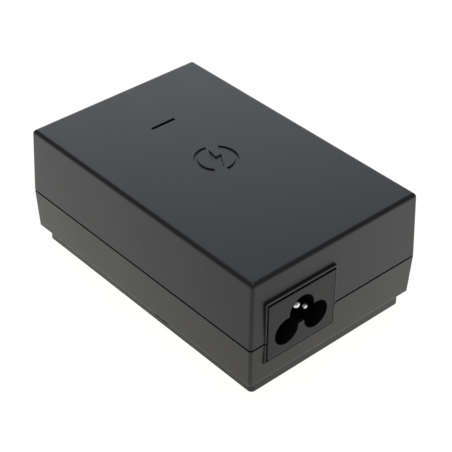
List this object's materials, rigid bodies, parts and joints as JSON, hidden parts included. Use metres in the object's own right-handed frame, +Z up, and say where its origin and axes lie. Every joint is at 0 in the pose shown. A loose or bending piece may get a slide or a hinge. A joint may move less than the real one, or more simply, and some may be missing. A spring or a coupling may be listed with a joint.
{
  "type": "power over ethernet injector",
  "caption": "Small dark mains adapter that feeds power into a network cable: cloverleaf inlet, network jacks, status light, reset button and slide-on wall bracket.",
  "frame": {"origin": "centre of the base, on the surface that the bracket stands on", "axes": "+X to the end with the mains inlet, +Y across the case, +Z up"},
  "size_m": [0.091, 0.0588, 0.0365],
  "materials": {
    "case_plastic": "fine moulded texture",
    "lower_case_plastic": "fine moulded texture",
    "bracket_plastic": "fine moulded texture",
    "inlet_plastic": "smooth moulded",
    "light_pipe_plastic": "smoked, polished",
    "led_epoxy": "clear diffused epoxy",
    "label_foil": "blank silver foil label",
    "nickel_plate": "bright nickel plate",
    "jack_plastic": "moulded",
    "shield_steel": "tinned stamped steel",
    "gold_plate": "gold flash",
    "chip_epoxy": "moulded epoxy",
    "switch_plastic": "moulded",
    "button_plastic": "moulded",
    "board_laminate": "solder-masked glass laminate",
    "liner_paper": "pressed insulating paper",
    "fuse_glass": "clear tube",
    "blue_lacquer": "dipped lacquer",
    "film_capacitor_box": "moulded box",
    "ferrite": "ground ferrite",
    "enamelled_copper": "enamelled wire",
    "capacitor_sleeve": "shrink sleeve on an aluminium can",
    "heatsink_aluminium": "sheet",
    "screw_steel": "zinc plated",
    "resistor_lacquer": "lacquer",
    "bobbin_plastic": "phenolic",
    "yellow_tape": "polyester tape"
  },
  "bodies": {
    "case": {"ac_inlet_housing": "inlet_plastic", "bridge_rectifier": "chip_epoxy", "bulk_capacitor": "capacitor_sleeve", "choke_core": "ferrite", "choke_windings": "enamelled_copper", "ethernet_magnetics": "chip_epoxy", "fuse_caps": "nickel_plate", "fuse_tube": "fuse_glass", "heatsink_screws": "screw_steel", "inlet_earth_pin": "nickel_plate", "inlet_line_pin": "nickel_plate", "inlet_neutral_pin": "nickel_plate", "insulation_sheet": "liner_paper", "lan_jack_contacts": "gold_plate", "lan_jack_housing": "jack_plastic", "lan_jack_shield": "shield_steel", "light_pipe": "light_pipe_plastic", "lower_shell": "lower_case_plastic", "main_pcb": "board_laminate", "optocoupler": "chip_epoxy", "output_capacitors": "capacitor_sleeve", "output_choke": "ferrite", "output_rectifier": "chip_epoxy", "poe_jack_contacts": "gold_plate", "poe_jack_housing": "jack_plastic", "poe_jack_shield": "shield_steel", "primary_heatsink": "heatsink_aluminium", "pwm_controller": "chip_epoxy", "rating_label": "label_foil", "reset_switch": "switch_plastic", "resistors": "resistor_lacquer", "secondary_heatsink": "heatsink_aluminium", "status_led": "led_epoxy", "surge_suppressors": "chip_epoxy", "switching_transistor": "chip_epoxy", "transformer_bobbin": "bobbin_plastic", "transformer_core": "ferrite", "transformer_winding": "yellow_tape", "upper_shell": "case_plastic", "varistor": "blue_lacquer", "x_capacitor": "film_capacitor_box", "y_capacitor": "blue_lacquer"},
    "wall_bracket": {"wall_bracket": "bracket_plastic"},
    "reset_button": {"reset_button": "button_plastic", "reset_plunger": "switch_plastic"}
  },
  "joints": [
    {"name": "wall_bracket_slide", "type": "slide", "parent": "case", "child": "wall_bracket", "axis": [1, 0, 0], "range_m": [0, 0.008]},
    {"name": "reset_press", "type": "slide", "parent": "case", "child": "reset_button", "axis": [1, 0, 0], "range_m": [0, 0.0003], "stiffness_N_per_m": 1500}
  ]
}
